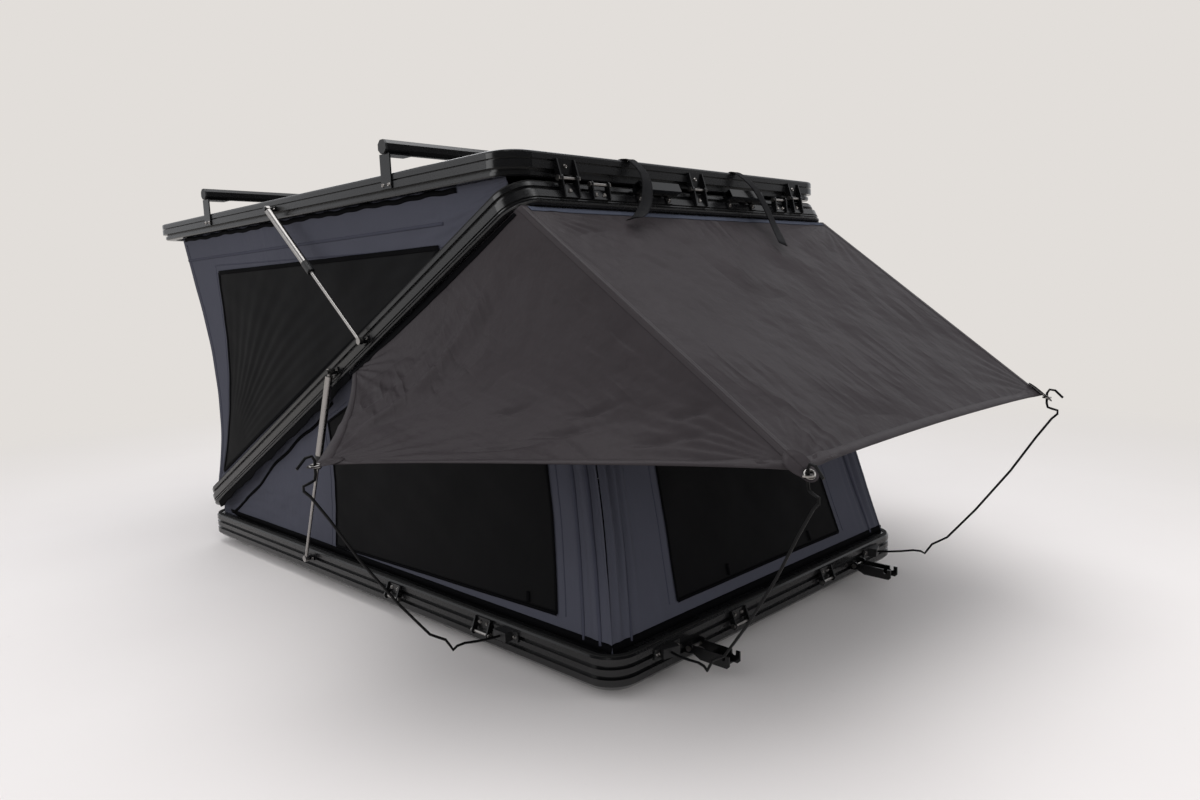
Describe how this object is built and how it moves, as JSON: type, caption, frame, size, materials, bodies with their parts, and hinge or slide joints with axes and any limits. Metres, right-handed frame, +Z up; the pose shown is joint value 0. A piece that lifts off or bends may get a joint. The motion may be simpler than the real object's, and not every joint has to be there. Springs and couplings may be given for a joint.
{
  "type": "roof top tent",
  "caption": "Hard-shell roof top tent that folds in a Z: base tray, middle frame and lid on hinges and gas struts, canvas walls, mesh windows, awning on spring rods.",
  "frame": {"origin": "centre of the mounting bolt pattern, on the underside of the two mounting rails", "axes": "+X along the tent towards the awning end, +Y across it, +Z up"},
  "size_m": [2.9066, 2.3866, 1.3193],
  "materials": {
    "frame": "satin black powder coat on aluminium extrusion",
    "bracket": "satin black coated steel plate",
    "stainless": "bright stainless steel",
    "floor": "mill finish skin of the sandwich panel",
    "roof": "fine textured black coated skin",
    "seal": "foam rubber",
    "plastic": "moulded black plastic",
    "canvas": "dark grey poly-cotton canvas",
    "mesh": "black insect mesh",
    "awning_cloth": "dark grey coated awning cloth",
    "mattress_cover": "soft grey cover over foam",
    "webbing": "woven black webbing",
    "rod": "black coated spring steel"
  },
  "bodies": {
    "base": {"mount_rails": "frame", "floor_panel": "floor", "base_side_rails": "frame", "base_end_rails": "frame", "base_corners": "frame", "base_seal": "seal", "mattress": "mattress_cover", "rear_hinge_base_leaves": "bracket", "rear_hinge_pins": "stainless", "ladder_brackets": "bracket", "ladder_pins": "stainless", "latch_brackets": "bracket", "latch_pivots": "stainless", "rod_sockets": "plastic", "awning_rods": "rod", "strut_base_studs": "bracket", "lower_walls": "canvas", "lower_windows": "mesh", "awning": "awning_cloth", "awning_grommets": "stainless"},
    "mid": {"mid_side_rails": "frame", "mid_end_rails": "frame", "mid_corners": "frame", "mid_seal": "seal", "rear_hinge_mid_leaves": "bracket", "front_hinge_mid_leaves": "bracket", "front_hinge_pins": "stainless", "latch_keepers": "bracket", "keeper_pins": "stainless", "rear_latch_brackets": "bracket", "rear_latch_pivots": "stainless", "grab_tubes": "bracket", "grab_tube_brackets": "bracket", "strut_mid_studs": "bracket"},
    "lid": {"lid_side_rails": "frame", "lid_end_rails": "frame", "lid_corners": "frame", "roof_panel": "roof", "front_hinge_lid_leaves": "bracket", "roof_bars": "frame", "roof_bar_brackets": "bracket", "roof_bar_caps": "plastic", "lid_keepers": "bracket", "lid_keeper_pins": "stainless", "strut_lid_studs": "bracket", "upper_walls": "canvas", "upper_windows": "mesh", "pull_straps": "webbing"},
    "front_hook_left": {"front_hook_left": "bracket"},
    "front_hook_right": {"front_hook_right": "bracket"},
    "rear_hook_left": {"rear_hook_left": "bracket"},
    "rear_hook_right": {"rear_hook_right": "bracket"},
    "lower_cylinder_left": {"lower_cylinder_left": "stainless"},
    "lower_rod_left": {"lower_rod_left": "stainless"},
    "lower_cylinder_right": {"lower_cylinder_right": "stainless"},
    "lower_rod_right": {"lower_rod_right": "stainless"},
    "upper_cylinder_left": {"upper_cylinder_left": "stainless"},
    "upper_rod_left": {"upper_rod_left": "stainless"},
    "upper_cylinder_right": {"upper_cylinder_right": "stainless"},
    "upper_rod_right": {"upper_rod_right": "stainless"}
  },
  "joints": [
    {"name": "mid_fold", "type": "hinge", "parent": "base", "child": "mid", "pos_m": [-1.063, 0, 0.1115], "axis": [0, 1, 0], "range_deg": [0, 28.5], "stiffness_Nm_per_rad": 1500, "springref_deg": -20.45, "deforming": ["lower_walls", "lower_windows", "awning"]},
    {"name": "lid_fold", "type": "hinge", "parent": "mid", "child": "lid", "pos_m": [0.77411, 0, 1.1835], "axis": [0, -1, 0], "range_deg": [0, 27.2], "stiffness_Nm_per_rad": 1500, "springref_deg": -24.81, "deforming": ["upper_walls", "upper_windows"]},
    {"name": "front_hook_left_swing", "type": "hinge", "parent": "base", "child": "front_hook_left", "pos_m": [1.063, -0.4, 0.07], "axis": [0, -1, 0], "range_deg": [0, 90]},
    {"name": "rear_hook_left_swing", "type": "hinge", "parent": "mid", "child": "rear_hook_left", "pos_m": [-1.07612, -0.4, 0.13567], "axis": [0, 1, 0], "range_deg": [0, 90]},
    {"name": "front_hook_right_swing", "type": "hinge", "parent": "base", "child": "front_hook_right", "pos_m": [1.063, 0.4, 0.07], "axis": [0, -1, 0], "range_deg": [0, 90]},
    {"name": "rear_hook_right_swing", "type": "hinge", "parent": "mid", "child": "rear_hook_right", "pos_m": [-1.07612, 0.4, 0.13567], "axis": [0, 1, 0], "range_deg": [0, 90]},
    {"name": "lower_strut_left_turn", "type": "hinge", "parent": "mid", "child": "lower_cylinder_left", "pos_m": [-0.0471, -0.697, 0.69666], "axis": [0, 1, 0], "range_deg": [0, 33.07]},
    {"name": "lower_strut_left_stroke", "type": "slide", "parent": "lower_cylinder_left", "child": "lower_rod_left", "axis": [0.3488, 0, 0.9372], "range_m": [0, 0.26377]},
    {"name": "upper_strut_left_turn", "type": "hinge", "parent": "lid", "child": "upper_cylinder_left", "pos_m": [-0.36428, -0.697, 1.18768], "axis": [0, -1, 0], "range_deg": [0, 30.3]},
    {"name": "upper_strut_left_stroke", "type": "slide", "parent": "upper_cylinder_left", "child": "upper_rod_left", "axis": [-0.7799, 0, 0.6259], "range_m": [0, 0.24246]},
    {"name": "lower_strut_right_turn", "type": "hinge", "parent": "mid", "child": "lower_cylinder_right", "pos_m": [-0.0471, 0.697, 0.69666], "axis": [0, 1, 0], "range_deg": [0, 33.07]},
    {"name": "lower_strut_right_stroke", "type": "slide", "parent": "lower_cylinder_right", "child": "lower_rod_right", "axis": [0.3488, 0, 0.9372], "range_m": [0, 0.26377]},
    {"name": "upper_strut_right_turn", "type": "hinge", "parent": "lid", "child": "upper_cylinder_right", "pos_m": [-0.36428, 0.697, 1.18768], "axis": [0, -1, 0], "range_deg": [0, 30.3]},
    {"name": "upper_strut_right_stroke", "type": "slide", "parent": "upper_cylinder_right", "child": "upper_rod_right", "axis": [-0.7799, 0, 0.6259], "range_m": [0, 0.24246]}
  ],
  "couplings": [
    {"joint": "lower_strut_left_turn", "follows": "mid_fold", "ratio": 1.16},
    {"joint": "lower_strut_left_stroke", "follows": "mid_fold", "m_per_rad": 0.53018},
    {"joint": "upper_strut_left_turn", "follows": "lid_fold", "ratio": 1.1138},
    {"joint": "upper_strut_left_stroke", "follows": "lid_fold", "m_per_rad": 0.51063},
    {"joint": "lower_strut_right_turn", "follows": "mid_fold", "ratio": 1.16},
    {"joint": "lower_strut_right_stroke", "follows": "mid_fold", "m_per_rad": 0.53018},
    {"joint": "upper_strut_right_turn", "follows": "lid_fold", "ratio": 1.1138},
    {"joint": "upper_strut_right_stroke", "follows": "lid_fold", "m_per_rad": 0.51063}
  ]
}
